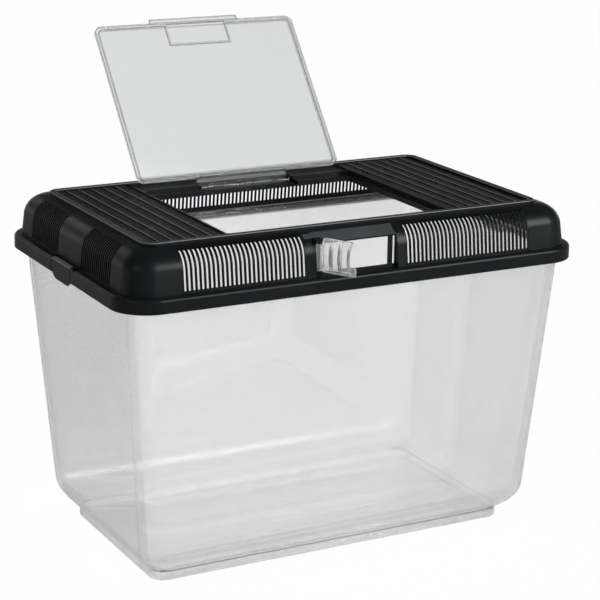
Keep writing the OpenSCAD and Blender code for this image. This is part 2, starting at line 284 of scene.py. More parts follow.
def softened(
    name: str,
    node: str,
    material: Material,
    edge: float,
    chosen: Callable[[Vector], bool] | None = None,
    painted_light_rims: Material | None = None,
) -> Object:
    """A copy of a CAD node with smooth curves and small rounded edges, as a moulding has.

    Args:
        name: the copy's name.
        node: the CAD node.
        material: its finish.
        edge: width of the rounding, in millimetres, or 0 for none.
        chosen: says from a sharp edge's middle, in millimetres, if it is rounded.
        painted_light_rims: the finish of the rounded edges, if it is another.
    """
    work = bmesh.new()
    work.from_mesh(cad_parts[node].data)
    bmesh.ops.remove_doubles(work, verts=work.verts, dist=MERGE_DISTANCE)
    bmesh.ops.dissolve_limit(
        work, angle_limit=math.radians(FLAT_TURN), verts=work.verts, edges=work.edges
    )
    work.verts.index_update()
    points = [v.co.copy() for v in work.verts]
    faces = [[v.index for v in f.verts] for f in work.faces]
    work.free()
    mesh = bpy.data.meshes.new(name)
    mesh.from_pydata(points, [], faces)
    mesh.materials.append(material)
    obj = linked(name, mesh)
    if edge > 0:
        weights = mesh.attributes.new("bevel_weight_edge", "FLOAT", "EDGE")
        sharp = sharp_edges(mesh, SHARP_TURN)
        for item in mesh.edges:
            middle = sum((mesh.vertices[i].co for i in item.vertices), Vector()) / 2 / MM
            if item.index in sharp and (chosen is None or chosen(middle)):
                weights.data[item.index].value = 1
        rounding = obj.modifiers.new("Rounding", "BEVEL")
        rounding.limit_method = "WEIGHT"
        rounding.width = edge * MM
        rounding.segments = 2
        rounding.use_clamp_overlap = False
        rounding.miter_outer = "MITER_ARC"
        # the rounded faces take a second finish: a painted highlight on the lid's edges, painted
        # shade on the trapdoor's
        if painted_light_rims:
            mesh.materials.append(painted_light_rims)
            rounding.material = 1
        baked(obj)
    obj.data.shade_smooth()
    obj.data.set_sharp_from_angle(angle=math.radians(SMOOTH_TURN))
    weighing = obj.modifiers.new("Flat faces", "WEIGHTED_NORMAL")
    weighing.keep_sharp = True
    baked(obj)
    return obj


def refinish(obj: Object, material: Material, chosen: Callable[[Vector, Vector], bool]) -> None:
    """Gives some faces of a piece another finish.

    Args:
        obj: the piece.
        material: the other finish.
        chosen: says which, from a face's middle, in millimetres, and its normal.
    """
    obj.data.materials.append(material)
    other = len(obj.data.materials) - 1
    for face in obj.data.polygons:
        if chosen(face.center / MM, face.normal):
            face.material_index = other


def sharp_edges(mesh: Mesh, angle: float) -> set[int]:
    """Numbers of the edges whose two faces turn by more than an angle in degrees."""
    least = math.radians(angle)
    work = bmesh.new()
    work.from_mesh(mesh)
    work.normal_update()
    found = {
        e.index for e in work.edges if len(e.link_faces) == 2 and e.calc_face_angle() > least
    }
    work.free()
    return found


def place(obj: Object, body: Body, slot: Slot, *nodes: str) -> None:
    """Puts a finished piece on its body and hides the CAD nodes that it stands for.

    Args:
        obj: the piece.
        body: the CAD body that it moves with.
        slot: the record's material slot; not used.
        nodes: CAD nodes that it replaces.
    """
    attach(obj, body.value)
    if nodes:
        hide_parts(*nodes)
    LOG.info("%s: %d faces on %s", obj.name, len(obj.data.polygons), body.value)


# -------- finishes


class Sheet:
    """A short way to put nodes in a node tree and join them."""

    def __init__(self, tree: Tree) -> None:
        """Empties the tree."""
        self.tree = tree
        tree.nodes.clear()

    def add(self, kind: str, inputs: Inputs | None = None, **settings: object) -> Node:
        """Adds a node and returns it.

        Args:
            kind: the node's type name.
            inputs: values or output sockets for its inputs.
            settings: its own properties.
        """
        node = self.tree.nodes.new(kind)
        for key, value in settings.items():
            setattr(node, key, value)
        for key, value in (inputs or {}).items():
            socket = node.inputs[key]
            if isinstance(value, Socket):
                self.tree.links.new(value, socket)
            else:
                socket.default_value = value
        return node

    def out(self, kind: str, inputs: Inputs | None = None, **settings: object) -> Socket:
        """Adds a node as add does, and returns its first output."""
        return self.add(kind, inputs, **settings).outputs[0]

    def math(self, operation: str, *values: object) -> Socket:
        """Adds a Math node and returns its output."""
        return self.out("ShaderNodeMath", dict(enumerate(values)), operation=operation)

    def ramp(self, value: object, *ends: float) -> Socket:
        """Adds a Map Range node and returns its output.

        Args:
            value: what is mapped.
            ends: two values, and the results up to the first and from the second on.
        """
        return self.out("ShaderNodeMapRange", {"Value": value, **dict(enumerate(ends, 1))})

    def by_ray(self, levels: dict[str, object]) -> Socket:
        """The level of a ray's kind, or the largest where it is of several kinds."""
        path = self.add("ShaderNodeLightPath").outputs
        total: object = 0.0
        for kind, level in levels.items():
            share = self.math("MULTIPLY", path[kind], level)
            total = self.math("MAXIMUM", total, share)
        return total


def new_material(name: str) -> tuple[Material, Sheet]:
    """A material with an empty node tree."""
    material = bpy.data.materials.new(name)
    material.use_nodes = True
    return material, Sheet(material.node_tree)


@dataclass(frozen=True)
class Noise:
    """A cloudy pattern on a piece's own coordinates, with scale repeats per metre."""

    scale: float
    detail: float
    stretch: Point = (1.0, 1.0, 1.0)
    roughness: float = 0.55

    def value(self, sheet: Sheet) -> Socket:
        """Adds the pattern to a sheet and returns its factor."""
        spot = sheet.add("ShaderNodeTexCoord").outputs["Object"]
        spread = sheet.out("ShaderNodeMapping", {"Vector": spot, "Scale": self.stretch})
        inputs = {"Vector": spread, "Scale": self.scale, "Detail": self.detail}
        return sheet.out("ShaderNodeTexNoise", {**inputs, "Roughness": self.roughness})

    def bump(self, sheet: Sheet, strength: float, depth: float) -> Socket:
        """Adds the pattern as a relief of this depth in millimetres, and returns the normal."""
        inputs = {"Strength": strength, "Distance": depth * MM, "Height": self.value(sheet)}
        return sheet.out("ShaderNodeBump", inputs)


SMEARS = Noise(22, 3, (1.0, 1.0, 0.35))
SMEAR_RANGE = (0.45, 0.8)  # of the pattern, from clean to smeared
FLOW = Noise(9, 1, (1.0, 1.0, 0.5))
CLOUDS = Noise(30, 4)
CLOUD_RANGE = (0.3, 0.7)  # of the pattern, from shiny to dull
PITS = Noise(1400, 2)


@dataclass(frozen=True)
class ClearPlastic:
    """Clear, polished moulding with a trace of flow waviness.

    Attributes:
        tint: the colour that a wall lets through.
        roughness: the least roughness.
        haze: how much rougher the smeared places are.
        ripple: depth of the flow waviness, in millimetres.
        shade: what a wall lets through of the lamps' light.
        straight: share of the light that passes without bending.
        clearness: what the plastic doesn't scatter.
    """

    name: str
    tint: Point
    roughness: float = 0.015
    haze: float = 0.05
    ripple: float = 0.02
    shade: float = 0.86
    straight: float = 0.35
    clearness: float = 0.97

    def make(self) -> Material:
        """Builds the material."""
        material, sheet = new_material(self.name)
        hazy = self.roughness + self.haze
        rough = sheet.ramp(SMEARS.value(sheet), *SMEAR_RANGE, self.roughness, hazy)
        look = {"Base Color": (*self.tint, 1), "Roughness": rough, "IOR": 1.49}
        look["Transmission Weight"] = self.clearness
        look["Normal"] = FLOW.bump(sheet, 0.35, self.ripple)
        plastic = sheet.out("ShaderNodeBsdfPrincipled", look)
        passing = sheet.out("ShaderNodeBsdfTransparent", {"Color": (*self.tint, 1)})
        thin = sheet.out("ShaderNodeMixShader", {0: self.straight, 1: plastic, 2: passing})
        shade = (self.shade, self.shade, self.shade, 1)
        lamps_through = sheet.out("ShaderNodeBsdfTransparent", {"Color": shade})
        to_lamp = sheet.add("ShaderNodeLightPath").outputs["Is Shadow Ray"]
        both = sheet.out("ShaderNodeMixShader", {0: to_lamp, 1: thin, 2: lamps_through})
        sheet.add("ShaderNodeOutputMaterial", {"Surface": both})
        return material


@dataclass(frozen=True)
class BlackPlastic:
    """Black moulded plastic with a fine spark-eroded grain.

    Attributes:
        dark: its darkest colour.
        light: its lightest colour, where it is rubbed.
        roughness: the least roughness.
        spread: how much rougher the dullest places are.
        grain: depth of the grain, in millimetres.
        shine: the shader's specular level.
    """

    name: str
    dark: Point
    light: Point
    roughness: float = 0.3
    spread: float = 0.1
    grain: float = 0.006
    shine: float = 0.13

    def make(self) -> Material:
        """Builds the material."""
        material, sheet = new_material(self.name)
        clouds = CLOUDS.value(sheet)
        colours = {0: clouds, 6: (*self.dark, 1), 7: (*self.light, 1)}
        colour = sheet.add("ShaderNodeMix", colours, data_type="RGBA").outputs[2]
        dull = self.roughness + self.spread
        rough = sheet.ramp(clouds, *CLOUD_RANGE, self.roughness, dull)
        look = {"Base Color": colour, "Roughness": rough, "IOR": 1.5}
        look["Specular IOR Level"] = self.shine
        look["Normal"] = PITS.bump(sheet, 0.5, self.grain)
        plastic = sheet.out("ShaderNodeBsdfPrincipled", look)
        sheet.add("ShaderNodeOutputMaterial", {"Surface": plastic})
        return material


@dataclass(frozen=True)
class Backdrop:
    """White that the camera and clear plastic see, over a plain matt floor or a plain room.

    Attributes:
        seen: brightness to the camera.
        through: brightness through clear plastic.
        card: what a white card on the camera's side adds to that.
        card_gain: how many times brighter the card's left part is.
        mirrored: brightness of the floor in glossy plastic.
        horizon: brightness of the room's low back wall in it.
        above: brightness of the room overhead in it.
        lit: brightness that lights the object.
        glow: share of the floor's white that a shadow doesn't dim.
        paper: the matt floor's colour.
        wall_top, wall_side: where the wall fades, along Z and Y of a ray's direction.
        card_foot, card_top, card_side: where the card fades, along Z, Z and Y.
        card_left: where its brighter part fades, along X.
    """

    seen: float = 1.0
    through: float = 0.72
    card: float = 1.3
    card_gain: float = 3.5
    mirrored: float = 0.33
    horizon: float = 1.0
    above: float = 0.08
    lit: float = 0.5
    glow: float = 0.96
    paper: Point = (0.9, 0.9, 0.9)
    wall_top: Flat = (0.1, 0.19)
    wall_side: Flat = (-0.1, 0.5)
    card_foot: Flat = (-0.06, 0.0)
    card_top: Flat = (0.5, 0.6)
    card_side: Flat = (-0.5, -0.2)
    card_left: Flat = (0.34, 0.46)

    def floor(self) -> Material:
        """Builds the floor's material."""
        material, sheet = new_material("pale_floor")
        levels = {"Is Camera Ray": self.seen, "Is Transmission Ray": self.through}
        strength = sheet.by_ray({**levels, "Is Glossy Ray": self.mirrored})
        light = sheet.out("ShaderNodeEmission", {"Color": WHITE, "Strength": strength})
        paper = sheet.out("ShaderNodeBsdfDiffuse", {"Color": (*self.paper, 1)})
        blend = sheet.by_ray({**dict.fromkeys(levels, self.glow), "Is Glossy Ray": 1.0})
        both = sheet.out("ShaderNodeMixShader", {0: blend, 1: paper, 2: light})
        sheet.add("ShaderNodeOutputMaterial", {"Surface": both})
        return material

    def card_light(self, sheet: Sheet, x: Socket, y: Socket, z: Socket) -> Socket:
        """The brightness that the card adds, from the parts of a ray's direction."""
        over = sheet.ramp(z, *self.card_foot, 0.0, self.card)
        under = sheet.ramp(z, *self.card_top, 1.0, 0.0)
        ahead = sheet.ramp(y, *self.card_side, 1.0, 0.0)
        nearer = sheet.ramp(x, *self.card_left, self.card_gain, 1.0)
        upright = sheet.math("MULTIPLY", over, under)
        return sheet.math("MULTIPLY", upright, sheet.math("MULTIPLY", ahead, nearer))

    def room(self) -> None:
        """Sets the world: white behind the object, and a dimmer room for what plastic mirrors."""
        world = bpy.data.worlds.new("studio_room")
        bpy.context.scene.world = world
        world.use_nodes = True
        sheet = Sheet(world.node_tree)
        aim = sheet.add("ShaderNodeTexCoord").outputs["Generated"]
        x, y, z = sheet.add("ShaderNodeSeparateXYZ", {0: aim}).outputs
        low = sheet.ramp(z, *self.wall_top, 1.0, 0.0)
        behind = sheet.ramp(y, *self.wall_side, 0.0, 1.0)
        wall = sheet.math("MULTIPLY", low, behind)
        clear = sheet.math("ADD", self.card_light(sheet, x, y, z), self.through)
        mirrored = sheet.ramp(wall, 0.0, 1.0, self.above, self.horizon)
        levels = {"Is Camera Ray": self.seen, "Is Transmission Ray": clear}
        level = sheet.by_ray({**levels, "Is Glossy Ray": mirrored, "Is Diffuse Ray": self.lit})
        sky = sheet.out("ShaderNodeBackground", {"Color": WHITE, "Strength": level})
        sheet.add("ShaderNodeOutputWorld", {"Surface": sky})


@dataclass(frozen=True)
class Finishes:
    """Every material of the keeper.

    fold is painted shade, a dark tint on the front of the crease over the tank's foot, edges
    painted shade on the trapdoor's rounded edges, rims a painted highlight on rounded edges, slope
    a painted sheen on the sloping face over the front window.
    """

    tank: Material
    painted_fold_shade: Material
    edges: Material
    trapdoor: Material
    latch: Material
    lid: Material
    slats: Material
    panels: Material
    painted_light_rims: Material
    slope: Material
    clips: Material

    @classmethod
    def make(cls) -> Finishes:
        """Builds them all."""
        looks = {
            "tank": ClearPlastic("clear_tank", (0.95, 0.953, 0.952), clearness=0.935),
            # painted shade: a dark tint for the crease over the tank's foot
            "painted_fold_shade": ClearPlastic("clear_painted_fold_shade", (0.16, 0.165, 0.17), ripple=0.0),
            # painted shade: a darker tint for the trapdoor's rounded edges
            "edges": ClearPlastic("clear_painted_edge_shade", (0.4, 0.41, 0.42), haze=0.0, ripple=0.0),
            "trapdoor": ClearPlastic(
                "clear_trapdoor", (0.955, 0.96, 0.965),
                haze=0.0, ripple=0.01, straight=0.5, clearness=1.0,
            ),
            "latch": ClearPlastic(
                "clear_latch", (0.98, 0.985, 0.985),
                haze=0.02, ripple=0.0, straight=0.12, clearness=0.88,
            ),
            "lid": BlackPlastic("black_lid", (0.0035, 0.0045, 0.005), (0.006, 0.0075, 0.008)),
            "slats": BlackPlastic(
                "black_slats", (0.0025, 0.003, 0.0035), (0.0045, 0.0055, 0.006), shine=0.12
            ),
            "panels": BlackPlastic(
                "black_panels", (0.004, 0.0045, 0.005), (0.009, 0.0095, 0.01),
                roughness=0.24, grain=0.01,
            ),
            # painted highlight: a lighter, shinier black for rounded edges
            "painted_light_rims": BlackPlastic(
                "painted_highlight_rims", (0.07, 0.074, 0.078), (0.11, 0.116, 0.122), shine=0.35
            ),
            # painted sheen: a lighter, shinier black for the slope over the front window
            "slope": BlackPlastic(
                "painted_sheen_slope", (0.025, 0.027, 0.028), (0.045, 0.048, 0.05), shine=0.3
            ),
            "clips": BlackPlastic("black_clips", (0.005, 0.006, 0.0065), (0.009, 0.01, 0.011)),
        }
        return cls(**{part: look.make() for part, look in looks.items()})


# -------- node-built repeats


class Repeats:
    """Geometry Nodes trees for what repeats on the lid."""

    slat_corner: float = 0.15  # share of a slat's width that each rounded corner takes
    ridge_sides: int = 8

    def __init__(self) -> None:
        """Builds both trees."""
        self.slats = self.slat_tree()
        self.ridges = self.ridge_tree()

    @staticmethod
    def tree(name: str, sockets: dict[str, str]) -> tuple[Tree, Sheet, Node]:
        """An empty tree, its sheet and its input node, with inputs of these names and kinds."""
        tree = bpy.data.node_groups.new(name, "GeometryNodeTree")
        for label, kind in sockets.items():
            tree.interface.new_socket(label, in_out="INPUT", socket_type=f"NodeSocket{kind}")
        tree.interface.new_socket("Geometry", in_out="OUTPUT", socket_type="NodeSocketGeometry")
        sheet = Sheet(tree)
        return tree, sheet, sheet.add("NodeGroupInput")

    @staticmethod
    def finish(sheet: Sheet, shape: Socket, given: Node) -> None:
        """Ends a tree: realizes instances, shades smooth and sets the material."""
        real = sheet.out("GeometryNodeRealizeInstances", {0: shape})
        soft = sheet.out("GeometryNodeSetShadeSmooth", {0: real})
        finish = {0: soft, "Material": given.outputs["Material"]}
        sheet.add("NodeGroupOutput", {0: sheet.out("GeometryNodeSetMaterial", finish)})

    @staticmethod
    def row(sheet: Sheet, item: Socket, count: Socket, start: Socket, step: Socket) -> Socket:
        """Repeats an item along a line, from start on, a step apart."""
        line = {"Count": count, "Start Location": start, "Offset": step}
        places = sheet.out("GeometryNodeMeshLine", line, mode="OFFSET")
        return sheet.out("GeometryNodeInstanceOnPoints", {"Points": places, "Instance": item})

    def slat_tree(self) -> Tree:
        """A row of upright slats that rise from the flange and bend over the dome's shoulder."""
        kinds = {"Count": "Int", "Rings": "Int", "Material": "Material"}
        sizes = "Pitch", "First", "Width", "Thickness", "Reach", "Bend Radius", "Bend Angle"
        places = "Foot Height", "Foot Lean", "Bend Height", "Turn"
        kinds |= dict.fromkeys(sizes + places, "Float")
        tree, sheet, given = self.tree("slat_row", kinds)
        g = given.outputs
        index = sheet.out("GeometryNodeInputIndex")
        above = sheet.math("MAXIMUM", sheet.math("SUBTRACT", index, 1.0), 0.0)
        share = sheet.math("DIVIDE", above, sheet.math("SUBTRACT", g["Rings"], 2.0))
        angle = sheet.math("MULTIPLY", share, g["Bend Angle"])
        up_wall = sheet.math("MINIMUM", index, 1.0)
        wall = sheet.math("SUBTRACT", g["Bend Height"], g["Foot Height"])
        rise = sheet.math("MULTIPLY", wall, up_wall)
        lean = sheet.math("MULTIPLY", sheet.math("SUBTRACT", 1.0, up_wall), g["Foot Lean"])
        out = sheet.math("MULTIPLY", sheet.math("COSINE", angle), g["Bend Radius"])
        up = sheet.math("MULTIPLY", sheet.math("SINE", angle), g["Bend Radius"])
        reach = sheet.math("ADD", g["Reach"], lean)
        y = sheet.math("MULTIPLY", sheet.math("ADD", reach, out), -1.0)
        z = sheet.math("ADD", sheet.math("ADD", g["Foot Height"], rise), up)
        spot = sheet.out("ShaderNodeCombineXYZ", {1: y, 2: z})
        line = sheet.out("GeometryNodeCurvePrimitiveLine")
        even = sheet.out("GeometryNodeResampleCurve", {"Curve": line, "Count": g["Rings"]})
        path = sheet.out("GeometryNodeSetPosition", {"Geometry": even, "Position": spot})
        sides = {0: g["Width"], 1: g["Thickness"]}
        box = sheet.out("GeometryNodeCurvePrimitiveQuadrilateral", sides)
        corner = sheet.math("MULTIPLY", g["Width"], self.slat_corner)
        cut = {"Curve": box, "Count": 1, "Radius": corner}
        section = sheet.out("GeometryNodeFilletCurve", cut, mode="POLY")
        swept = {"Curve": path, "Profile Curve": section, "Fill Caps": True}
        slat = sheet.out("GeometryNodeCurveToMesh", swept)
        start = sheet.out("ShaderNodeCombineXYZ", {0: g["First"]})
        step = sheet.out("ShaderNodeCombineXYZ", {0: g["Pitch"]})
        row = self.row(sheet, slat, g["Count"], start, step)
        turn = sheet.out("ShaderNodeCombineXYZ", {2: g["Turn"]})
        real = sheet.out("GeometryNodeRealizeInstances", {0: row})
        turned = sheet.out("GeometryNodeTransform", {"Geometry": real, "Rotation": turn})
        self.finish(sheet, turned, given)
        return tree

    def ridge_tree(self) -> Tree:
        """A row of low straight ridges with sloping flanks, on a flat face."""
        kinds = {"Count": "Int", "Width": "Float", "Height": "Float", "Material": "Material"}
        kinds |= dict.fromkeys(("Start", "Step", "Run"), "Vector")
        tree, sheet, given = self.tree("ridge_row", kinds)
        g = given.outputs
        line = sheet.out("GeometryNodeCurvePrimitiveLine", {"End": g["Run"]})
        upright = sheet.out("GeometryNodeSetCurveNormal", {"Curve": line}, mode="Z_UP")
        circle = {"Resolution": self.ridge_sides, "Radius": 1.0}
        section = sheet.out("GeometryNodeCurvePrimitiveCircle", circle, mode="RADIUS")
        half = sheet.math("MULTIPLY", g["Width"], 0.5)
        size = sheet.out("ShaderNodeCombineXYZ", {0: half, 1: g["Height"], 2: 1.0})
        oval = sheet.out("GeometryNodeTransform", {"Geometry": section, "Scale": size})
        swept = {"Curve": upright, "Profile Curve": oval, "Fill Caps": True}
        ridge = sheet.out("GeometryNodeCurveToMesh", swept)
        self.finish(sheet, self.row(sheet, ridge, g["Count"], g["Start"], g["Step"]), given)
        return tree

    @staticmethod
    def grow(name: str, tree: Tree, values: dict[str, object]) -> Object:
        """Runs a tree and returns its result as a plain mesh, all in the given material.

        Args:
            name: the object's name.
            tree: the tree.
            values: a value for each named input.
        """
        obj = linked(name, bpy.data.meshes.new(name))
        modifier = obj.modifiers.new(tree.name, "NODES")
        modifier.node_group = tree
        for item in tree.interface.items_tree:
            if item.in_out == "INPUT":
                modifier[item.identifier] = values[item.name]
        grown = baked(obj)
        grown.data.materials.clear()
        grown.data.materials.append(values["Material"])
        for face in grown.data.polygons:
            face.material_index = 0
        return grown


# -------- the keeper's own pieces


@dataclass
class Tank:
    """The clear tank: a sunken foot, a rounded belly, leaning walls and a rim lip.

    Sizes are in millimetres. The painted shade, a dark tint on the front of the crease over the
    foot, lies on faces up to painted_shade_below under and painted_shade_above over the foot's top
    that turn to the front by painted_shade_turn or more.
    """

    top_z: float = 247.2
    top_w: float = 392.6
    top_d: float = 243.0
    draft: float = 0.074
    wall: float = 2.2
    corner_r: float = 17.0
    foot_w: float = 329.6
    foot_d: float = 172.2
    foot_h: float = 8.6
    foot_r: float = 12.6
    belly_h: float = 25.0
    belly_ledge: float = 0.5
    lip_h: float = 2.5
    lip_w: float = 407.0
    lip_d: float = 257.0
    lip_r: float = 27.5
    painted_shade_below: float = 1.2
    painted_shade_above: float = 0.05
    painted_shade_turn: float = 0.25

    def wall_size(self, z: float) -> Flat:
        """Outside length and depth of the leaning walls at a height."""
        shrink = 2 * self.draft * (self.top_z - z)
        return self.top_w - shrink, self.top_d - shrink

    def belly(self, shell: Shell, inset: float, steps: int = 14) -> list[list[int]]:
        """Rings that round up from the foot into the walls, this far inside their outside."""
        low_w, low_d = self.foot_w + 2 * self.belly_ledge, self.foot_d + 2 * self.belly_ledge
        rim_w, rim_d = self.wall_size(self.foot_h + self.belly_h)
        rings = []
        for i in range(steps + 1):
            rise = i / steps
            bulge = 2 * rise - rise * rise
            sizes = []
            for low, rim in ((low_w, rim_w), (low_d, rim_d)):
                slope = (rim - low) * (1 - rise) / self.belly_h
                sizes.append(low + (rim - low) * bulge - 2 * inset * math.hypot(1, slope))
            outline = rounded_outline(sizes[0], sizes[1], self.corner_r - inset)
            rings.append(shell.ring(outline, self.foot_h + self.belly_h * rise))
        return rings

    def is_painted_fold_shade(self, middle: Vector, normal: Vector) -> bool:
        """Whether a face takes the painted shade on the front of the crease where the foot meets
        the belly.
        """
        beside = -self.painted_shade_below < middle.z - self.foot_h < self.painted_shade_above
        return beside and middle.y < 0 and normal.y < -self.painted_shade_turn

    @staticmethod
    def stack(shell: Shell, size: Callable[[float], Point], *steps: Flat) -> list[list[int]]:
        """Rings of one kind.

        Args:
            shell: the mesh in the making.
            size: gives the length, depth and corner radius at a height.
            steps: each ring's height, and how far it lies inside that size.
        """
        rings = []
        for z, inset in steps:
            w, d, r = size(z)
            outline = rounded_outline(w - 2 * inset, d - 2 * inset, max(r - inset, 1.0))
            rings.append(shell.ring(outline, z))
        return rings

    def build(self, finish: Material, painted_fold_shade: Material) -> None:
        """Builds the tank as one closed wall and puts it in place of its faceted CAD solid."""
        shell = Shell()
        foot = partial(self.stack, shell, lambda z: (self.foot_w, self.foot_d, self.foot_r))
        level = partial(self.stack, shell, lambda z: (*self.wall_size(z), self.corner_r))
        lip = partial(self.stack, shell, lambda z: (self.lip_w, self.lip_d, self.lip_r))
        wall, top, low = self.wall, self.top_z, self.top_z - self.lip_h
        fold_z, inner_fold_z = self.foot_h, self.foot_h + self.wall
        belly_top = self.foot_h + self.belly_h + 1
        outside = [
            *foot((0, 1.6), (0, 0.9), (0.25, 0.25), (0.9, 0), (1.5, 0)),
            *foot((fold_z - 1.2, 0), (fold_z - 0.4, -0.1)),
            *self.belly(shell, 0),
            *level((belly_top, 0), (low - 1.6, 0), (low - 0.8, -0.05), (low, -0.6)),
            *lip((low, 0.9), (low, 0.5), (low + 0.5, 0), (top - 0.6, 0)),
            *lip((top - 0.15, 0.2), (top, 0.7), (top, 1.2)),
        ]
        inside = [
            *level((top, wall - 1.2), (top, wall - 0.6), (top - 0.2, wall - 0.15)),
            *level((top - 0.8, wall), (top - 1.6, wall), (belly_top, wall)),
            *reversed(self.belly(shell, wall)),
            *foot((inner_fold_z - 0.7, wall + 0.05), (inner_fold_z - 1.6, wall + 0.1)),
            *foot((wall + 1.8, wall + 0.2), (wall + 1.0, wall + 0.35), (wall + 0.3, wall + 1.0)),
            *foot((wall, wall + 1.9), (wall, wall + 2.8)),
        ]
        shell.loft(outside + inside)
        shell.cap(outside[0][::-1])
        shell.cap(inside[-1])
        tank = shell.piece("tank_shell", finish, smooth=50)
        # the front of the crease over the foot gets the dark tint: painted shade
        refinish(tank, painted_fold_shade, self.is_painted_fold_shade)
        place(tank, Body.TANK, Slot.CLEAR, "tank")


@dataclass
class Grille:
    """One slotted stretch of the dome: slats, the bands above and below them, two end bars.

    Attributes:
        first: place of the first slot's middle.
        rings: rings along each slat.
        band_start, slat_end: angles of the upper band's start and the slats' end.
        band_h, band_lean: the lower band's height and share of the lean at its top.
        slat_start: the slats' start over the flange.
        slat_thinner: how much thinner than the wall slats are.
    """

    node: str
    facing: Facing
    slots: int
    first: float
    rings: int = 9
    band_start: float = 66.0
    slat_end: float = 69.0
    band_h: float = 1.5
    band_lean: float = 0.9
    slat_start: float = 0.4
    slat_thinner: float = 0.12

    @property
    def reach(self) -> float:
        """Distance of this side of the dome from the lid's middle."""
        across = self.facing in (Facing.FRONT, Facing.REAR)
        return (LID.dome_d if across else LID.dome_w) / 2

    def profile(self, start: float, steps: int, from_flange: bool = False) -> list[Flat]:
        """Closed (y, z) profile of the dome's wall, up to its top.

        Args:
            start: the shoulder's angle where it starts, in degrees.
            steps: straight pieces in the shoulder's arc.
            from_flange: adds the wall below the arc.
        """
        middle = -(self.reach - LID.shoulder)
        angles = [math.radians(start + (90 - start) * i / steps) for i in range(steps + 1)]
        sides = []
        for inset in (0.0, LID.shell):
            r = LID.shoulder - inset
            side = [(middle - r * math.cos(a), LID.shoulder_z + r * math.sin(a)) for a in angles]
            if from_flange:
                side.insert(0, (-self.reach - LID.lean + inset, LID.flange_z))
            sides.append(side)
        return sides[0] + sides[1][::-1]

    def lower_band(self) -> list[Flat]:
        """Closed (y, z) profile of the band along the flange."""
        low = -self.reach - LID.lean
        high = -self.reach - LID.lean * self.band_lean
        foot = [(low, LID.flange_z), (low + LID.shell, LID.flange_z)]
        return foot + [(y, LID.flange_z + self.band_h) for y in (high + LID.shell, high)]

    def build(self, repeats: Repeats, finish: Material) -> None:
        """Builds the grille and puts it in place of its CAD node."""
        run = (self.slots - 1) * LID.slot_pitch
        start, end = self.first - LID.slot_margin, self.first + run + LID.slot_margin
        bar = LID.slot_margin - LID.slot_w / 2
        solid = Shell()
        solid.prism(self.profile(self.band_start, 6), start, end)
        solid.prism(self.lower_band(), start, end)
        for x in (start, end - bar):
            solid.prism(self.profile(0.0, 14, from_flange=True), x, x + bar)
        solid.turn(self.facing.value)
        bands = solid.piece(f"{self.node}_bands", finish)
        slats = repeats.grow(
            f"{self.node}_slats",
            repeats.slats,
            {
                "Count": self.slots - 1,
                "Pitch": LID.slot_pitch * MM,
                "First": (self.first + LID.slot_pitch / 2) * MM,
                "Width": (LID.slot_pitch - LID.slot_w) * MM,
                "Thickness": (LID.shell - self.slat_thinner) * MM,
                "Reach": (self.reach - LID.shoulder) * MM,
                "Bend Radius": (LID.shoulder - LID.shell / 2) * MM,
                "Bend Angle": math.radians(self.slat_end),
                "Foot Height": (LID.flange_z + self.slat_start) * MM,
                "Foot Lean": LID.lean * MM,
                "Bend Height": LID.shoulder_z * MM,
                "Rings": self.rings,
                "Turn": math.radians(self.facing.value),
                "Material": finish,
            },
        )
        place(joined(f"{self.node}_slatted", [bands, slats]), Body.LID, Slot.BLACK, self.node)


@dataclass
class TopPanel:
    """A sunken panel of the lid's top, with long ribs and fine hatching between them.

    Attributes:
        edge: width of the ribs' rounded top edges, which get a painted highlight.
        rib_rise: the ribs' edges are higher than this over the lid's top.
        hatch_pitch, hatch_w, hatch_h: the hatching's pitch, width and height.
        hatch_gap: room between the hatching and the panel's sides.
    """

    node: str
    edge: float = 0.5
    rib_rise: float = 1.1
    hatch_pitch: float = 2.8
    hatch_w: float = 0.8
    hatch_h: float = 0.32
    hatch_gap: float = 0.3

    def is_rib(self, middle: Vector) -> bool:
        """Whether an edge is at the top of a rib."""
        return middle.z > LID.top_z + self.rib_rise

    def build(self, repeats: Repeats, finish: Material, painted_light_rims: Material) -> None:
        """Adds the hatching to a softened copy of the CAD panel, with a painted highlight on the
        ribs' rounded edges.
        """
        low, high = (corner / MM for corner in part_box(self.node))
        panel = softened(f"{self.node}_ribs", self.node, finish, self.edge, self.is_rib, painted_light_rims)
        count = int((high.y - low.y) / self.hatch_pitch)
        gap = (high.y - low.y - (count - 1) * self.hatch_pitch) / 2
        hatching = repeats.grow(
            f"{self.node}_hatching",
            repeats.ridges,
            {
                "Count": count,
                "Start": ((low.x + self.hatch_gap) * MM, (low.y + gap) * MM, LID.top_z * MM),
                "Step": (0.0, self.hatch_pitch * MM, 0.0),
                "Run": ((high.x - low.x - 2 * self.hatch_gap) * MM, 0.0, 0.0),
                "Width": self.hatch_w * MM,
                "Height": self.hatch_h * MM,
                "Material": finish,
            },
        )
        place(joined(f"{self.node}_hatched", [panel, hatching]), Body.LID, Slot.BLACK, self.node)


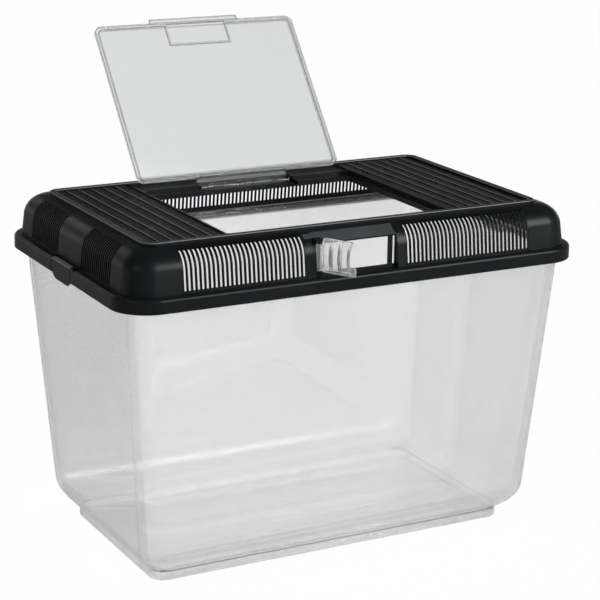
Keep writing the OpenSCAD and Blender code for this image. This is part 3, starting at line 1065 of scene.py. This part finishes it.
@dataclass
class Lid:
    """The black lid: flange, dome, top, grilles and panels.

    Attributes:
        left_slots, right_slots: slots in the front's two grilles.
        end_middle: distance of an end grille's middle from the lid's.
        skirt_edge, border_edge: widths of rounded edges.
        skirt_drop: the skirt's edges are lower than this under the flange.
        border_rise: the border's edges are higher than this over the top.
        slope_x, slope_y, slope_z, slope_turn: the place of the slope with a painted sheen, and its
            normal's Y.
    """

    rear_slots: int = 83
    left_slots: int = 28
    right_slots: int = 31
    end_slots: int = 16
    end_middle: float = 54.0
    skirt_edge: float = 0.35
    skirt_drop: float = 6.0
    border_edge: float = 0.6
    border_rise: float = 2.3
    slope_x: Flat = (-46.0, 28.0)
    slope_y: float = -104.0
    slope_z: Flat = (274.0, 284.0)
    slope_turn: Flat = (-0.7, -0.4)

    def grilles(self) -> list[Grille]:
        """The seven slotted stretches."""
        half = (self.rear_slots - 1) / 2 * LID.slot_pitch
        right = half - (self.right_slots - 1) * LID.slot_pitch
        end = (self.end_slots - 1) / 2 * LID.slot_pitch
        near, far = -self.end_middle - end, self.end_middle - end
        return [
            Grille("front_grille_left", Facing.FRONT, self.left_slots, -half),
            Grille("front_grille_right", Facing.FRONT, self.right_slots, right),
            Grille("rear_grille", Facing.REAR, self.rear_slots, -half),
            Grille("right_grille_front", Facing.RIGHT, self.end_slots, near),
            Grille("right_grille_rear", Facing.RIGHT, self.end_slots, far),
            Grille("left_grille_front", Facing.LEFT, self.end_slots, far),
            Grille("left_grille_rear", Facing.LEFT, self.end_slots, near),
        ]

    def is_skirt(self, middle: Vector) -> bool:
        """Whether an edge is on the skirt."""
        return middle.z < LID.flange_z - self.skirt_drop

    def is_border(self, middle: Vector) -> bool:
        """Whether an edge is at the top of the raised border."""
        return middle.z > LID.top_z + self.border_rise

    def is_slope(self, middle: Vector, normal: Vector) -> bool:
        """Whether a face of the dome is on the slope over the front window that gets a painted
        sheen.
        """
        pairs = (middle.x, self.slope_x), (middle.z, self.slope_z), (normal.y, self.slope_turn)
        return middle.y < self.slope_y and all(low < value < high for value, (low, high) in pairs)

    def build(self, repeats: Repeats, finishes: Finishes) -> None:
        """Builds every piece of the lid."""
        black, painted_light_rims = finishes.lid, finishes.painted_light_rims
        flange = softened("lid_flange_rim", "lid_flange", black, self.skirt_edge, self.is_skirt)
        place(flange, Body.LID, Slot.BLACK, "lid_flange")
        dome = softened("lid_dome_shell", "lid_dome", black, 0)
        # the slope over the front window gets a painted sheen
        refinish(dome, finishes.slope, self.is_slope)
        place(dome, Body.LID, Slot.BLACK, "lid_dome")
        # the border's rounded top edges get a painted highlight
        top = softened("lid_top_deck", "lid_top", black, self.border_edge, self.is_border, painted_light_rims)
        place(top, Body.LID, Slot.BLACK, "lid_top")
        for grille in self.grilles():
            grille.build(repeats, finishes.slats)
        for node in ("left_top_panel", "right_top_panel"):
            TopPanel(node).build(repeats, finishes.panels, painted_light_rims)


@dataclass
class Trapdoor:
    """The clear door in the lid's top, photographed open."""

    edge: float = 0.55

    def build(self, finish: Material, edges: Material) -> None:
        """Builds the door with its rounded rim, whose edges get a darker tint: painted shade."""
        plate = softened("trapdoor_plate", "trapdoor", finish, self.edge, painted_light_rims=edges)
        place(plate, Body.TRAPDOOR, Slot.CLEAR, "trapdoor")


@dataclass
class FrontLatch:
    """The clear bowed latch at the front window."""

    edge: float = 0.4

    def build(self, finish: Material) -> None:
        """Builds the latch with its rounded ribs."""
        grip = softened("front_latch_grip", "front_latch", finish, self.edge)
        place(grip, Body.FRONT_LATCH, Slot.CLEAR, "front_latch")


@dataclass
class SideLatches:
    """The two black flaps that hang in gaps of the skirt.

    Attributes:
        edge: width of the rounded edges.
        ledge_z, ledge_turn: the least height and upward turn of a face with a painted highlight.
    """

    edge: float = 0.5
    ledge_z: float = 247.0
    ledge_turn: float = 0.3

    def is_painted_highlight(self, middle: Vector, normal: Vector) -> bool:
        """Whether a face gets the painted highlight."""
        return middle.z > self.ledge_z and normal.z > self.ledge_turn

    def build(self, finish: Material, painted_light_rims: Material) -> None:
        """Builds both flaps, with a painted highlight on their upward top faces."""
        for side, body in (("left", Body.LEFT_LATCH), ("right", Body.RIGHT_LATCH)):
            flap = softened(f"{side}_latch_flap", f"{side}_side_latch", finish, self.edge)
            refinish(flap, painted_light_rims, self.is_painted_highlight)
            place(flap, body, Slot.BLACK, f"{side}_side_latch")


# -------- studio


@dataclass(frozen=True)
class SoftLamp:
    """A plain soft area lamp. Its spot and size are in metres, its power in watts."""

    name: str
    spot: Point
    size: Flat
    power: float

    def build(self, aim: Vector) -> None:
        """Adds the lamp, turned towards a point."""
        data = bpy.data.lights.new(self.name, "AREA")
        data.shape = "RECTANGLE"
        data.size, data.size_y = self.size
        data.energy = self.power
        lamp = linked(self.name, data)
        lamp.location = self.spot
        lamp.rotation_euler = (aim - Vector(self.spot)).to_track_quat("-Z", "Y").to_euler()


@dataclass
class Studio:
    """Pale floor, soft lamps and the photograph's camera.

    Attributes:
        focal_px: the camera's focal length, in pixels of the photo.
        camera_spot: where it stands, in metres.
        yaw, pitch, roll: its turn to the right, down and about its own axis, in radians.
        aim: what the lamps face, in metres.
        floor_size, floor_r, floor_steps, floor_z: the floor's size, corners and height.
    """

    focal_px: float = 2006.81
    camera_spot: Point = (-0.76366, -1.45334, 0.66107)
    yaw: float = 0.488914
    pitch: float = 0.277040
    roll: float = 0.012569
    aim: Point = (0.0, 0.0, 0.2)
    floor_size: float = 9000.0
    floor_r: float = 4000.0
    floor_steps: int = 24
    floor_z: float = -0.2
    lamps: tuple[SoftLamp, ...] = (
        SoftLamp("front_softbox", (1.3, -2.1, 1.19), (1.25, 1.2), 74.0),
        SoftLamp("left_fill", (-2.2, -0.9, 1.5), (1.0, 1.0), 8.0),
        SoftLamp("back_strip", (-0.9, 3.2, 1.9), (1.6, 1.0), 6.0),
    )

    def floor(self, backdrop: Backdrop) -> None:
        """Lays a wide pale floor, just under the foot."""
        outline = rounded_outline(self.floor_size, self.floor_size, self.floor_r, self.floor_steps)
        shell = Shell()
        shell.cap(shell.ring(outline, self.floor_z))
        floor = shell.piece("pale_floor", backdrop.floor())
        if floor.data.polygons[0].normal.z < 0:
            floor.data.flip_normals()

    def camera(self) -> None:
        """Adds the photograph's camera, as fitted to its lines."""
        yaw, pitch, roll = self.yaw, self.pitch, self.roll
        level = Vector((math.cos(yaw), -math.sin(yaw), 0))
        ahead = Vector((math.sin(yaw) * math.cos(pitch), math.cos(yaw) * math.cos(pitch), 0))
        ahead.z = -math.sin(pitch)
        above = level.cross(ahead)
        right = math.cos(roll) * level + math.sin(roll) * above
        up = -math.sin(roll) * level + math.cos(roll) * above
        data = bpy.data.cameras.new("photo_camera")
        data.sensor_width = SENSOR_WIDTH
        data.lens = self.focal_px / PHOTO_SIDE * data.sensor_width
        data.clip_start, data.clip_end = CLIPPING
        camera = linked("photo_camera", data)
        turned = Matrix((right, up, -ahead)).transposed().to_4x4()
        camera.matrix_world = Matrix.Translation(self.camera_spot) @ turned
        bpy.context.scene.camera = camera

    def build(self) -> None:
        """Sets up floor, room, lamps, camera and plain colour handling."""
        backdrop = Backdrop()
        self.floor(backdrop)
        backdrop.room()
        for lamp in self.lamps:
            lamp.build(Vector(self.aim))
        self.camera()
        bpy.context.scene.view_settings.view_transform = "Standard"


def main() -> None:
    logging.basicConfig(level=logging.INFO, format="%(name)s: %(message)s")
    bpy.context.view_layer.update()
    finishes = Finishes.make()
    repeats = Repeats()
    Tank().build(finishes.tank, finishes.painted_fold_shade)
    Lid().build(repeats, finishes)
    Trapdoor().build(finishes.trapdoor, finishes.edges)
    FrontLatch().build(finishes.latch)
    SideLatches().build(finishes.clips, finishes.painted_light_rims)
    Studio().build()
    bpy.context.view_layer.update()


if __name__ == "__main__":
    main()
